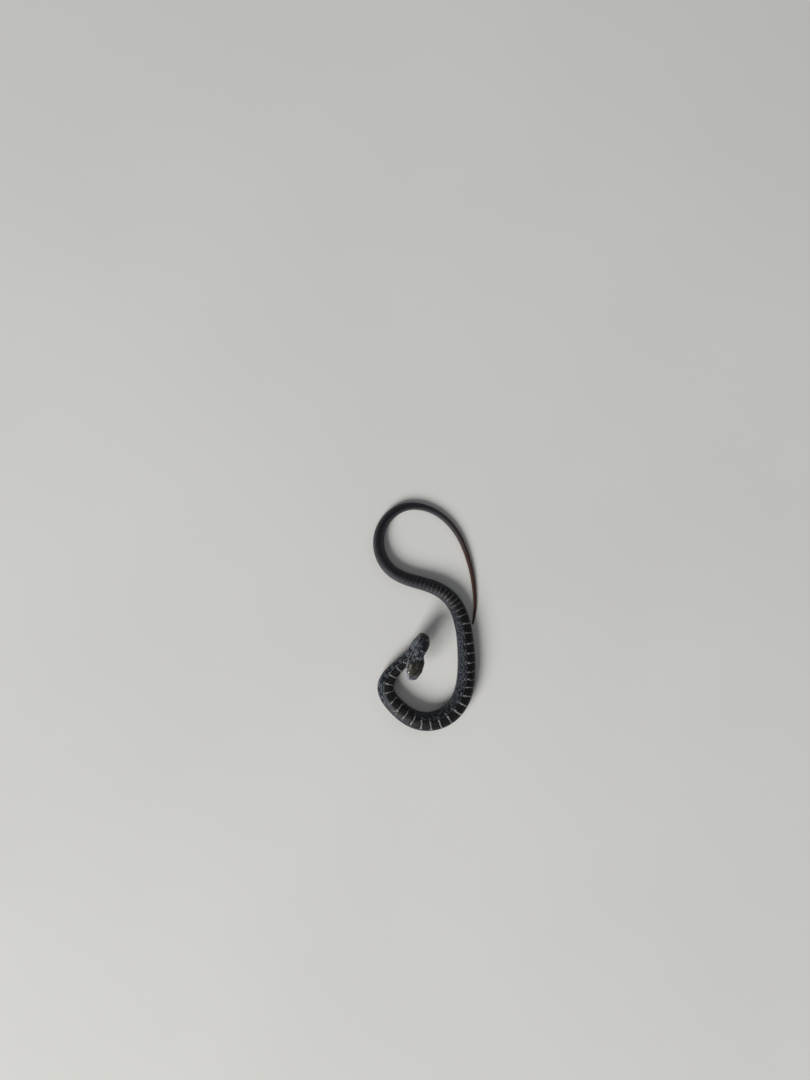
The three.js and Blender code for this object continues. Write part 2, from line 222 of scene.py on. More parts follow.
# The shields of the head, as places of their middles: back from the snout and degrees from the crown.
# A long shield has more than one place. Each lip shield has one.
middle_shields = {
    "rostral": [(0.25, 0.0), (0.12, 60.0)],
    "frontal": [(3.7, 0.0), (4.4, 0.0), (5.1, 0.0), (5.9, 0.0)],
    "mental": [(0.75, 180.0), (0.6, 130.0)],
}
side_shields = {
    "internasal": [(1.25, 24.0)],
    "prefrontal": [(2.4, 17.0), (2.5, 38.0)],
    "supraocular": [(4.0, 31.0), (4.8, 33.0), (5.6, 33.0)],
    "parietal": [(6.9, 14.0), (7.7, 19.0), (8.5, 20.0), (7.2, 36.0)],
    "front_nasal": [(0.7, 62.0)],
    "rear_nasal": [(1.65, 62.0)],
    "loreal": [(2.55, 66.0)],
    "upper_preocular": [(3.45, 58.0)],
    "lower_preocular": [(3.62, 76.0)],
    "upper_postocular": [(6.65, 54.0)],
    "lower_postocular": [(6.75, 72.0)],
    "front_temporal": [(7.75, 55.0), (8.0, 73.0)],
    "middle_temporal": [(8.85, 43.0)],
    "rear_temporal": [(9.1, 62.0)],
    "low_temporal": [(9.2, 77.0)],
}
upper_lips = [(0.95, 84.0), (1.95, 85.0), (3.0, 85.3), (4.15, 85.6), (5.35, 85.8), (6.7, 85.0), (8.15, 85.0)]
lower_lips = [(1.0, 104.0), (1.75, 103.0), (2.6, 103.0), (3.6, 103.0)]
lower_lips += [(4.75, 103.0), (6.0, 102.0), (7.3, 101.0), (8.6, 100.0)]
chin_shields = {
    "front": [(1.9, 146.0), (2.7, 150.0)],
    "rear": [(3.8, 146.0), (4.7, 146.0)],
}
throat_scales = {"from": 5.2, "to": 10.2, "step": 0.95, "angle_from": 114.0, "angle_to": 176.0}
nape_scales = {"from": 9.7, "to": 11.0, "step": 0.9, "angle_from": 0.0, "angle_to": 92.0}
patch_angle_step = 15.0
golden_share = 0.618  # spreads the tones of the shields evenly

flesh_nodes = [name for name in frame["nodes"] if not name.startswith("eye")]


def length_property(name, default, description):
    return bpy.props.FloatProperty(name=name, description=description, default=default, unit="LENGTH")


def share_property(name, default, description):
    return bpy.props.FloatProperty(name=name, description=description, default=default, subtype="FACTOR")


def colour_property(name, default, description):
    return bpy.props.FloatVectorProperty(name=name, description=description, default=default, subtype="COLOR")


class SnakeSizes(bpy.types.PropertyGroup):
    """Sizes of the skin and coat that a user would change."""

    coat_depth: length_property("Coat Depth", 0.00012, "How far the skin lies inside the solids")
    scale_thickness: length_property("Scale Thickness", 0.00012, "Thickness of a scale at its middle")
    scale_overlap: share_property("Scale Length", 1.55, "Length of a scale as a share of its body segment")
    scale_spread: share_property("Scale Width", 1.24, "Width of a scale as a share of the gap between rows")
    unevenness: share_property("Unevenness", 0.07, "How much the scales differ from one another in size")
    seed: bpy.props.IntProperty(name="Seed", description="Fixes what is random in the scales", default=7)
    shield_groove: length_property("Shield Groove", 0.00005, "Depth of the grooves between head shields")


class SnakeColours(bpy.types.PropertyGroup):
    """Colours of the markings that a user would change."""

    saddle: colour_property("Saddle", (0.0035, 0.0035, 0.004), "Near-black of the saddles across the back")
    saddle_middle: colour_property("Saddle Middle", (0.022, 0.02, 0.019), "Brown grey within the saddles")
    bar: colour_property("Bar", (0.28, 0.28, 0.275), "Pale grey of the narrow bars between saddles")
    flank: colour_property("Flank", (0.052, 0.058, 0.07), "Blue grey of the flanks")
    spot: colour_property("Spot", (0.004, 0.004, 0.005), "Small dark spots of the flanks")
    rear: colour_property("Rear", (0.068, 0.066, 0.077), "Plain lavender grey of the rear body")
    tail_tip: colour_property("Tail Tip", (0.06, 0.023, 0.013), "Red brown of the end of the tail")
    belly: colour_property("Belly", (0.34, 0.34, 0.33), "Pale grey of the belly scutes")
    crown: colour_property("Crown", (0.016, 0.0145, 0.0095), "Dark olive of the top of the head")
    crown_pale: colour_property("Crown Pale", (0.064, 0.057, 0.037), "Olive tan between the crown's marks")
    lips: colour_property("Lips", (0.36, 0.34, 0.37), "Pale lilac white of the lips and chin")
    snout: colour_property("Snout", (0.12, 0.122, 0.15), "Lilac grey at the front of the head")
    # Painted shade: the grey that darkens the lips behind the eye
    painted_lip_shade: colour_property("Cheek", (0.1, 0.098, 0.1), "Grey of the cheek behind the eye")
    iris: colour_property("Iris", (0.045, 0.028, 0.016), "Brown of the iris")
    floor: colour_property("Floor", (0.62, 0.61, 0.58), "Pale floor of the stage")


# Smooth lines through a few named values


def steady_line(pairs):
    """A line through (place, value) pairs that never swings past them."""
    places, values = np.array(pairs, float).T
    slopes = np.diff(values) / np.diff(places)
    before, after = slopes[:-1], slopes[1:]
    rising = before * after > 0
    between = np.where(rising, 2 * before * after / np.where(rising, before + after, 1), 0)
    leans = np.concatenate([slopes[:1], between, slopes[-1:]])

    def line(place):
        place = np.clip(place, places[0], places[-1])
        i = np.clip(np.searchsorted(places, place, side="right") - 1, 0, len(places) - 2)
        span = places[i + 1] - places[i]
        t = (place - places[i]) / span
        rest = 1 - t
        return (
            values[i] * (1 + 2 * t) * rest**2
            + leans[i] * span * t * rest**2
            + values[i + 1] * t * t * (3 - 2 * t)
            - leans[i + 1] * span * t * t * rest
        )

    return line


def smooth_line(places, values):
    """A natural cubic spline through values at rising places."""
    places, values = np.asarray(places, float), np.asarray(values, float)
    count = len(places)
    bends, share = np.zeros(count), np.zeros(count)
    for i in range(1, count - 1):
        before, after = places[i] - places[i - 1], places[i + 1] - places[i]
        weight = 2 * (before + after) - before * share[i - 1]
        turn = (values[i + 1] - values[i]) / after - (values[i] - values[i - 1]) / before
        share[i] = after / weight
        bends[i] = (6 * turn - before * bends[i - 1]) / weight
    for i in range(count - 2, 0, -1):
        bends[i] -= share[i] * bends[i + 1]

    def line(place):
        i = np.clip(np.searchsorted(places, place, side="right") - 1, 0, count - 2)
        span = places[i + 1] - places[i]
        far = (place - places[i]) / span
        near = 1 - far
        curve = (near**3 - near) * bends[i] + (far**3 - far) * bends[i + 1]
        return near * values[i] + far * values[i + 1] + curve * span * span / 6

    return line


def smooth_step(value, low, high):
    t = np.clip((value - low) / (high - low), 0, 1)
    return t * t * (3 - 2 * t)


def bump(value, middle, reach):
    return np.exp(-(((value - middle) / reach) ** 2))


def unit(vectors):
    return vectors / np.maximum(np.linalg.norm(vectors, axis=-1, keepdims=True), 1e-12)


# The middle line by distance from the nape

way_points = np.array(route)
knots = np.concatenate([[0], np.cumsum(np.linalg.norm(np.diff(way_points, axis=0), axis=1))])
along_x = smooth_line(knots, way_points[:, 0])
along_y = smooth_line(knots, way_points[:, 1])
raised_points = int(np.argmax(way_points[:, 2] == 0)) + 1
along_lift = smooth_line(knots[:raised_points], way_points[:raised_points, 2])


def route_place(knot):
    raised = knot < knots[raised_points - 1]
    lift = np.where(raised, np.maximum(along_lift(np.minimum(knot, knots[raised_points - 1])), 0), 0)
    return np.stack([along_x(knot), along_y(knot), lift], axis=-1)


fine_step = 0.1
fine_knots = np.append(np.arange(knots[nape_point], knots[-1], fine_step), knots[-1])
fine_steps = np.linalg.norm(np.diff(route_place(fine_knots), axis=0), axis=1)
fine_distances = np.concatenate([[0], np.cumsum(fine_steps)])
body_length = fine_distances[-1]
coat_end = body_length - spine_length

width_at = steady_line(girth + [(body_length, tip_width)])
back_lines = [steady_line([(at, toward[axis]) for at, toward in back_facing]) for axis in range(3)]
roll_at = steady_line(back_roll)
segment_at = steady_line(segment_lengths)
rows_at = steady_line(side_rows)
reach_at = steady_line(row_reach)
saddle_step_at = steady_line(saddle_steps)
head_width = steady_line(head_widths)
head_crown = steady_line(head_crowns)
head_chin = steady_line(head_chins)
lip_line = steady_line(lip_lines)


def body_frames(distance):
    """The body's middle and its own directions: toward the tail, its back and its right side."""
    knot = np.interp(distance, fine_distances, fine_knots)
    reach = 0.2  # how far before and behind a place its direction is taken from
    tailward = unit(route_place(knot + reach) - route_place(knot - reach))
    back = np.stack([line(distance) for line in back_lines], axis=-1)
    back = unit(back - tailward * np.sum(back * tailward, axis=-1, keepdims=True))
    right = np.cross(back, tailward)
    middle = route_place(knot)
    middle[..., 2] += belly_depth * width_at(distance)
    return middle, tailward, back, right


nape_middle, nape_tailward, nape_back, nape_right = (part[0] for part in body_frames(np.zeros(1)))


def body_surface(distance, turn):
    """Points on the solids' surface; turn is from the section's top toward the snake's right."""
    middle, _, back, right = body_frames(distance)
    width = width_at(distance)
    sine, cosine = np.sin(turn), np.cos(turn)
    low_side = np.sign(sine) * np.abs(sine) ** flank_fullness
    side = 0.5 * np.where(cosine >= 0, sine, low_side)
    depth = np.minimum(1, belly_flatness * np.abs(cosine) ** belly_roundness)
    up = np.where(cosine >= 0, back_rise * cosine, -belly_depth * depth)
    places = middle + right * (side * width)[..., None] + back * (up * width)[..., None]
    places[..., 2] = np.maximum(places[..., 2], 0)
    return places


def head_section(back, turn):
    """How far out and up the head's surface lies; turn is 0 at the crown, half pi at the lips."""
    share = np.minimum(back / snout_round, 1)
    rounding = np.sqrt(np.maximum(1 - (1 - share) ** 2, 0))
    half = 0.5 * head_width(back) * rounding
    lips = lip_line(back)
    crown = (head_crown(back) - lips) * rounding
    chin = (head_chin(back) + lips) * rounding
    squareness = snout_squareness + (1 - snout_squareness) * smooth_step(back, boxy_to, round_from)
    upper = turn <= np.pi / 2
    angle = np.where(upper, turn, turn - np.pi / 2)
    sine, cosine = np.clip(np.sin(angle), 0, 1), np.clip(np.cos(angle), 0, 1)
    out = np.where(upper, half * sine**squareness, half * cosine**flank_fullness)
    depth = np.minimum(1, chin_flatness * sine**belly_roundness)
    up = np.where(upper, lips + crown * cosine**squareness, lips - chin * depth)
    degrees = np.degrees(angle)
    from_eye = np.hypot(back - eye_centre["back"], up - eye_centre["up"])
    relief = (
        brow["swell"] * bump(back, brow["back"], brow["reach"]) * bump(degrees, brow["angle"], brow["spread"])
        + eye_rim["swell"] * bump(from_eye, eye_rim["radius"], eye_rim["width"])
        - loreal_hollow["depth"]
        * bump(back, loreal_hollow["back"], loreal_hollow["reach"])
        * bump(degrees, loreal_hollow["angle"], loreal_hollow["spread"])
    )
    out = out + np.where(upper, rounding * relief * sine, 0)
    below = np.clip((lips - up) / underbite_blend + 0.5, 0, 1)
    setback = underbite * np.exp(-back / underbite_reach) * below * rounding
    return out, up, setback


def head_place(back, left, up):
    """A point of the head in the shared frame."""
    forward = np.asarray(head_length - back)[..., None]
    places = nape_middle - nape_tailward * forward - nape_right * np.asarray(left)[..., None]
    return places + nape_back * np.asarray(up - neck_axis)[..., None]


def head_surface(back, turn):
    around = (turn + np.pi) % (2 * np.pi) - np.pi
    out, up, setback = head_section(back, np.abs(around))
    return head_place(back + setback, -np.sign(around) * out, up)


def surface(along, turn):
    """Points on the snake's surface by distance from the nape, which is negative on the head."""
    along, turn = np.broadcast_arrays(np.asarray(along, float), np.asarray(turn, float))
    on_head = (along < 0)[..., None]
    body = body_surface(np.maximum(along, 0), turn)
    return np.where(on_head, head_surface(np.minimum(along, 0) + head_length, turn), body)


def surface_normal(along, turn):
    """Outward directions of the surface, from its slopes along and around."""
    near, step = 0.06, 0.02  # millimetres along and radians round
    lengthwise = surface(along + near, turn) - surface(along - near, turn)
    crosswise = surface(along, turn + step) - surface(along, turn - step)
    return unit(np.cross(lengthwise, crosswise))


def raised(along, turn, height):
    """Points at a height over the surface, or under it if the height is negative, never below the floor."""
    places = surface(along, turn) + surface_normal(along, turn) * np.asarray(height)[..., None]
    places[..., 2] = np.maximum(places[..., 2], np.maximum(-np.asarray(height), 0))
    return places


count_step = 0.25
count_places = np.arange(-head_length, body_length + count_step, count_step)
saddle_counts = saddle_start + np.cumsum(count_step / saddle_step_at(count_places))


def saddle_count(along):
    """How many saddles lie before a place, with the part of the one it is in."""
    return np.interp(along, count_places, saddle_counts)


# Meshes


def link_piece(name, data):
    piece = bpy.data.objects.new(name, data)
    bpy.context.collection.objects.link(piece)
    return piece


def face_outward(mesh):
    """Turns the faces out and shades them smooth."""
    shell = bmesh.new()
    shell.from_mesh(mesh)
    bmesh.ops.recalc_face_normals(shell, faces=shell.faces)
    shell.to_mesh(mesh)
    shell.free()
    mesh.shade_smooth()


def lay_mesh(name, places, faces, material):
    """A mesh object at the origin from places in millimetres, with its faces pointing out."""
    mesh = bpy.data.meshes.new(name)
    mesh.from_pydata((np.asarray(places) * mm).tolist(), [], faces)
    mesh.materials.append(material)
    face_outward(mesh)
    return link_piece(name, mesh)


def grid_faces(rows, columns, first=0, closed=False):
    """The faces between the points of a grid, which is closed if its last column meets its first."""
    faces = []
    for row in range(rows - 1):
        start = first + row * columns
        for k in range(columns if closed else columns - 1):
            here, there = start + k, start + (k + 1) % columns
            faces.append((here, there, there + columns, here + columns))
    return faces


def note(mesh, name, values, kind="FLOAT"):
    """Stores one value for each point of a mesh, for its material to read."""
    attribute = mesh.attributes.get(name) or mesh.attributes.new(name, kind, "POINT")
    key = "vector" if kind == "FLOAT_VECTOR" else "value"
    attribute.data.foreach_set(key, np.ascontiguousarray(values, np.float32).ravel())


def read(mesh, name):
    values = np.zeros(len(mesh.vertices), np.float32)
    mesh.attributes[name].data.foreach_get("value", values)
    return values


# The unwrap that the scales and scutes are laid on, from 0 to 1: the snake's length in three strips, one over
# the other
strips = 3
strip_length = (body_length + head_length) / strips
strip_height = 0.31
strip_fill = 0.9  # share of a strip's height that its scales cover
strip_margin = 0.02
map_margin = 0.03
patch_size = 0.003


def add_bake_map(mesh):
    """Gives each scale a small patch at its root's place on the unwrap of the snake's length in strips."""
    travelled = np.clip((read(mesh, "root_along") + head_length) / strip_length, 0, strips - 1e-6)
    strip = np.floor(travelled)
    turn = np.clip(read(mesh, "root_around"), -179, 179) / 360
    across = (travelled - strip) * (1 - 2 * strip_margin) + strip_margin
    up = (strip + 0.5 + turn * strip_fill) * strip_height + map_margin
    across = across + read(mesh, "side") / 2 * patch_size
    up = up + (read(mesh, "lie") - 0.5) * patch_size
    corners = np.zeros(len(mesh.loops), np.int32)
    mesh.loops.foreach_get("vertex_index", corners)
    layer = mesh.uv_layers.new(name="OFBake")
    layer.data.foreach_set("uv", np.stack([across, up], axis=1)[corners].ravel())


# The shields of the head


def shield_middles():
    """The shields' middles on the head's surface, and a number for the shield that each belongs to."""
    shields = []
    for spots in middle_shields.values():
        shields.append(spots + [(back, -angle) for back, angle in spots if 0 < angle < 180])
    one_side = [*side_shields.values(), *([spot] for spot in upper_lips + lower_lips), *chin_shields.values()]
    for side in (1, -1):
        shields += [[(back, side * angle) for back, angle in spots] for spots in one_side]
    for patch in (throat_scales, nape_scales):
        backs = np.arange(patch["from"], patch["to"], patch["step"])
        angles = np.arange(patch["angle_from"], patch["angle_to"], patch_angle_step)
        for row, angle in enumerate(angles):
            shift = 0.5 * patch["step"] * (row % 2)
            for back in backs + shift:
                shields += [[(back, side * angle)] for side in ((1, -1) if angle > 0 else (1,))]
    places = [(back, angle, number) for number, spots in enumerate(shields) for back, angle in spots]
    back, angle, number = np.array(places).T
    return head_surface(back, np.radians(angle)), number.astype(int)


def shield_seams(places):
    """How far each place is from the edge of its shield, and the shield's number."""
    middles, numbers = shield_middles()
    apart = np.linalg.norm(places[:, None] - middles[None], axis=2)
    own = np.argmin(apart, axis=1)
    own_apart = apart[np.arange(len(places)), own]
    between = np.linalg.norm(middles[own][:, None] - middles[None], axis=2)
    edge = (apart**2 - own_apart[:, None] ** 2) / np.maximum(2 * between, 1e-6)
    edge[numbers[own][:, None] == numbers[None]] = np.inf
    return edge.min(axis=1), numbers[own]


# The skin

crown_steps = 56
chin_steps = 40
lip_crowding = 1.35  # draws the rows of points toward the lips
snout_rings = 22
head_step = 0.085
body_step = 0.7
ring_share = 3  # one corner of a body ring for each three of a head ring
first_slant = 0.05  # radians from the tip of the snout to the first ring
nape_gap = 0.2  # from the nape to the body's first ring
coat_from, coat_to = coat_start - 0.6, coat_start + 0.5  # where the skin sinks under the first scales
bare_from, bare_to = coat_end - 0.8, coat_end + 0.4  # where it rises again behind the last
spine_rings = 9
spine_round = 0.5  # length of the rounding at its point
far_off = 9.0  # stands for a height or distance that is never near


def ring_turns():
    """The turns of the points round the head, crowded at the lips."""
    shares = np.linspace(0, 1, crown_steps + 1)
    upper = np.pi / 2 * (1 - (1 - shares) ** lip_crowding)
    lower = np.linspace(np.pi / 2, np.pi, chin_steps + 1)[1:]
    right = np.concatenate([upper, lower])
    return np.concatenate([right, -right[-2:0:-1]])


def eye_middle(side):
    return head_place(eye_centre["back"], side * eye_centre["out"], eye_centre["up"])


def eye_axes(side):
    """An eye's own directions: along the head, outward and up."""
    turn = math.radians(eye_turn)
    forward, left = -nape_tailward, -nape_right
    along = forward * math.cos(turn) - side * left * math.sin(turn)
    outward = side * left * math.cos(turn) + forward * math.sin(turn)
    return np.stack([along, outward, nape_back])


def eyeball_share(places, side):
    """How far places are from an eye's middle, as a share of its own half size."""
    return np.linalg.norm((places - eye_middle(side)) @ eye_axes(side).T / eye_half, axis=-1)


def head_relief(places, back, lip_height, seam):
    """How far the finer forms of the head stand out from its plain surface, in millimetres."""
    sizes = bpy.context.scene.snake_sizes
    parted = 1 - smooth_step(back, mouth_corner - corner_fade, mouth_corner)
    groove = -mouth_groove["depth"] * bump(lip_height, 0, mouth_groove["reach"])
    lips = lip_swell["height"] * bump(np.abs(lip_height), lip_swell["from_mouth"], lip_swell["reach"])
    shields = -sizes.shield_groove / mm * (1 - smooth_step(seam, 0.0, shield_groove_width))
    calm = mouth_calm["share"] * bump(lip_height, 0, mouth_calm["reach"])
    height = (groove + lips) * parted + shields * (1 - calm)
    hole_out = head_section(np.array([nostril["back"]]), np.array([nostril["turn"]]))[0][0]
    for side in (1, -1):
        share = eyeball_share(places, side)
        height -= eye_socket["depth"] * (1 - smooth_step(share, eye_socket["from"], eye_socket["to"]))
        height += eyelid["height"] * bump(share, eyelid["at"], eyelid["reach"])
        hole = head_place(nostril["back"], side * hole_out, nostril["up"])
        height -= nostril["depth"] * bump(np.linalg.norm(places - hole, axis=-1), 0, nostril["reach"])
    return height


def join_faces(head_first, sides, body_first, few):
    """The faces between the head's last ring and the body's first, which has a third of its points."""
    faces = []
    for k in range(few):
        a, b, c, d = (head_first + (ring_share * k + i) % sides for i in range(ring_share + 1))
        near, far = body_first + k, body_first + (k + 1) % few
        faces += [(a, b, near), (b, c, far, near), (c, d, far)]
    return faces


def build_skin():
    """Lays one closed skin inside the flesh solids, from the snout to the tip of the tail."""
    coat = bpy.context.scene.snake_sizes.coat_depth / mm
    turns = ring_turns()
    few = turns[::ring_share]
    snout_backs = snout_round * (1 - np.cos(np.linspace(first_slant, np.pi / 2, snout_rings)))
    backs = np.append(snout_backs, np.arange(snout_round + head_step, head_length - head_step, head_step))
    distances = np.linspace(nape_gap, coat_end, round(body_length / body_step))
    distances = np.append(distances, np.linspace(coat_end, body_length, spine_rings + 2)[1:-1])
    depth = coat * (1 - smooth_step(distances, bare_from, bare_to))
    head_rings = surface((backs - head_length)[:, None], turns[None])
    body_rings = raised(distances[:, None], few[None], -depth[:, None])
    past_round = np.clip((distances - body_length) / spine_round + 1, 0, 1)
    centres = (surface(distances, 0.0) + surface(distances, np.pi))[:, None] / 2
    body_rings = centres + (body_rings - centres) * np.sqrt(1 - past_round**2)[:, None, None]
    tail_end = (surface(body_length, 0.0) + surface(body_length, np.pi)) / 2
    snout_tip = head_place(0.0, 0.0, lip_line(0.0))
    places = np.concatenate([*head_rings, *body_rings, [tail_end, snout_tip]])

    body_first = len(backs) * len(turns)
    tail_point = body_first + len(distances) * len(few)
    snout_point = tail_point + 1
    last_body = tail_point - len(few)
    faces = grid_faces(len(backs), len(turns), 0, closed=True)
    faces += grid_faces(len(distances), len(few), body_first, closed=True)
    faces += join_faces(body_first - len(turns), len(turns), body_first, len(few))
    faces += [(last_body + k, last_body + (k + 1) % len(few), tail_point) for k in range(len(few))]
    faces += [((k + 1) % len(turns), k, snout_point) for k in range(len(turns))]

    skin = lay_mesh("skin", places, faces, skin_material())
    mesh = skin.data
    normals = np.zeros(len(places) * 3, np.float32)
    mesh.vertices.foreach_get("normal", normals)

    along = np.append(np.repeat(backs - head_length, len(turns)), np.repeat(distances, len(few)))
    along = np.append(along, [body_length, -head_length])
    turn = np.concatenate([np.tile(turns, len(backs)), np.tile(few, len(distances)), [0.0, 0.0]])
    back = along + head_length
    on_head = along < 0
    lip_height = np.full(len(places), far_off)
    lip_height[on_head] = head_section(back[on_head], np.abs(turn[on_head]))[1] - lip_line(back[on_head])
    seam, shield = np.ones(len(places)), np.zeros(len(places))
    seam[on_head], shield[on_head] = shield_seams(places[on_head])
    relief = head_relief(places, back, lip_height, seam)
    under_coat = -coat * smooth_step(along, coat_from, coat_to)
    height = np.where(on_head, relief + under_coat, 0)
    places = places + normals.reshape(-1, 3) * height[:, None]
    mesh.vertices.foreach_set("co", (places * mm).ravel())
    mesh.update()

    degrees = np.degrees(turn) - roll_at(along)
    from_eye = np.minimum(eyeball_share(places, 1), eyeball_share(places, -1))
    notes = {
        "along": along,
        "around": np.abs((degrees + 180) % 360 - 180),
        "saddle": saddle_count(along),
        "seam": seam,
        "shield": (shield * golden_share) % 1,
        "lip_height": lip_height,
        "from_eye": np.where(on_head, from_eye, far_off),
    }
    for key, values in notes.items():
        note(mesh, key, values)
    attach(skin, body_name)
    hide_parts(*flesh_nodes)


# Node trees


class Value:
    """A node's output. Arithmetic with it adds nodes to its tree, and | takes the larger of two values."""

    def __init__(self, wiring, output):
        self.wiring = wiring
        self.output = output

    def __add__(self, other):
        return self.wiring.math("ADD", self, other)

    def __sub__(self, other):
        return self.wiring.math("SUBTRACT", self, other)

    def __rsub__(self, other):
        return self.wiring.math("SUBTRACT", other, self)

    def __mul__(self, other):
        return self.wiring.math("MULTIPLY", self, other)

    def __truediv__(self, other):
        return self.wiring.math("DIVIDE", self, other)

    def __or__(self, other):
        return self.wiring.math("MAXIMUM", self, other)

    def __abs__(self):
        return self.wiring.math("ABSOLUTE", self)

    def step(self, low, high, start=0.0, end=1.0):
        """Goes smoothly from start to end as this value goes from low to high."""
        given = (self, low, high, start, end)
        return self.wiring.value("ShaderNodeMapRange", given, interpolation_type="SMOOTHSTEP")


class Wiring:
    """Adds nodes to a tree and joins them. An input takes a Value or what its socket holds."""

    def __init__(self, tree):
        self.tree = tree

    def feed(self, socket, given):
        if isinstance(given, Value):
            self.tree.links.new(given.output, socket)
        else:
            socket.default_value = given

    def fill(self, node, inputs):
        """Feeds a node's inputs, which are given in order, or by name or number."""
        for key, given in inputs.items() if isinstance(inputs, dict) else enumerate(inputs):
            self.feed(node.inputs[key], given)

    def node(self, kind, inputs=(), **settings):
        made = self.tree.nodes.new(kind)
        for key, setting in settings.items():
            setattr(made, key, setting)
        self.fill(made, inputs)
        return made

    def value(self, kind, inputs=(), output=0, **settings):
        return Value(self, self.node(kind, inputs, **settings).outputs[output])

    def math(self, operation, *given):
        return self.value("ShaderNodeMath", given, operation=operation)

    def vector(self, *given):
        return self.value("ShaderNodeCombineXYZ", given)

    def scale(self, vector, amount):
        return self.value("ShaderNodeVectorMath", {0: vector, "Scale": amount}, operation="SCALE")

    def mix(self, share, first, second):
        """Blends two colours, which are the Mix node's sockets 6 and 7, into its output 2."""
        return self.value("ShaderNodeMix", {0: share, 6: first, 7: second}, 2, data_type="RGBA")

    def noise(self, vector, size, detail=2.0, roughness=0.5):
        inputs = {"Vector": vector, "Scale": size, "Detail": detail, "Roughness": roughness}
        return self.value("ShaderNodeTexNoise", inputs, "Fac")

    def attribute(self, name):
        """A number stored on the mesh, in a material."""
        return self.value("ShaderNodeAttribute", output="Fac", attribute_name=name)

    def named(self, name, kind="FLOAT"):
        """A named attribute, in a tree of geometry nodes."""
        return self.value("GeometryNodeInputNamedAttribute", {"Name": name}, "Attribute", data_type=kind)

    def store(self, geometry, name, given, domain="POINT"):
        """Writes a number onto the geometry, in a tree of geometry nodes."""
        inputs = {"Geometry": geometry, "Name": name, "Value": given}
        return self.value("GeometryNodeStoreNamedAttribute", inputs, data_type="FLOAT", domain=domain)


def new_group(name, kind, inputs, outputs):
    """A node group with named sockets, its wiring, the values that come in and the sockets that go out."""
    tree = bpy.data.node_groups.new(name, kind)
    for in_out, sockets in (("INPUT", inputs), ("OUTPUT", outputs)):
        for label, socket_kind in sockets.items():
            tree.interface.new_socket(label, in_out=in_out, socket_type="NodeSocket" + socket_kind)
    w = Wiring(tree)
    given = {socket.name: Value(w, socket) for socket in w.node("NodeGroupInput").outputs}
    return tree, w, given, w.node("NodeGroupOutput").inputs


# The scales of the back and flanks


def scale_shape():
    """One scale of unit size: its root at the origin, its tip at one along Y, a low dome on a flat base."""
    wide, rows = len(scale_columns), len(scale_outline)
    places, sides = [], []
    for lie, half in scale_outline:
        hump = math.sin(math.pi * min(lie + crest_lead, 1))
        for side in scale_columns:
            crest = (1 - abs(side) ** crest_power) * (crest_root + (1 - crest_root) * hump)
            places.append((side * half, lie, crest))
            sides.append(side)
    tip = len(places)
    places.append((0.0, 1.0, 0.0))
    sides.append(0.0)
    last = tip - wide
    faces = grid_faces(rows, wide)
    faces += [(last + k, last + k + 1, tip) for k in range(wide - 1)]
    left = [row * wide for row in range(rows)]
    right = [row * wide + wide - 1 for row in range(rows)]
    rim = (*left, tip, *right[::-1], *range(wide - 2, 0, -1))
    faces.append(rim)
    mesh = bpy.data.meshes.new("scale_shape")
    mesh.from_pydata(places, [], faces)
    note(mesh, "lie", [place[1] for place in places])
    note(mesh, "side", sides)
    face_outward(mesh)
    for edge in mesh.edges:
        edge.use_edge_sharp = all(corner in rim for corner in edge.vertices)
    return link_piece("scale_shape", mesh)


def segment_places(first, last):
    """Where the body's segments begin, from one place to another."""
    places = [first]
    while places[-1] < last:
        places.append(places[-1] + float(segment_at(places[-1])))
    return np.array(places)


def scale_roots(first, last):
    """Where every scale of the back and flanks between two places is rooted: along, and in which row."""
    segments = segment_places(coat_start, coat_end)
    widest_row = int(max(rows for _, rows in side_rows)) + 1
    rows = np.arange(-widest_row, widest_row + 1)
    along = segments[:, None] + 0.5 * segment_at(segments)[:, None] * (np.abs(rows)[None] % 2)
    row = np.broadcast_to(rows[None], along.shape)
    wanted = (np.abs(row) <= rows_at(along) + edge_slack) & (along >= first) & (along < last)
    return along[wanted], row[wanted]


def row_step(along):
    """Degrees from one row of scales to the next."""
    return reach_at(along) / (rows_at(along) + 0.5)


def euler_angles(across, lengthwise, outward):
    """Turns about X, Y and Z that carry the three axes onto these directions."""
    about_x = np.arctan2(lengthwise[:, 2], outward[:, 2])
    about_y = np.arcsin(np.clip(-across[:, 2], -1, 1))
    about_z = np.arctan2(across[:, 1], across[:, 0])
    return np.stack([about_x, about_y, about_z], axis=1)


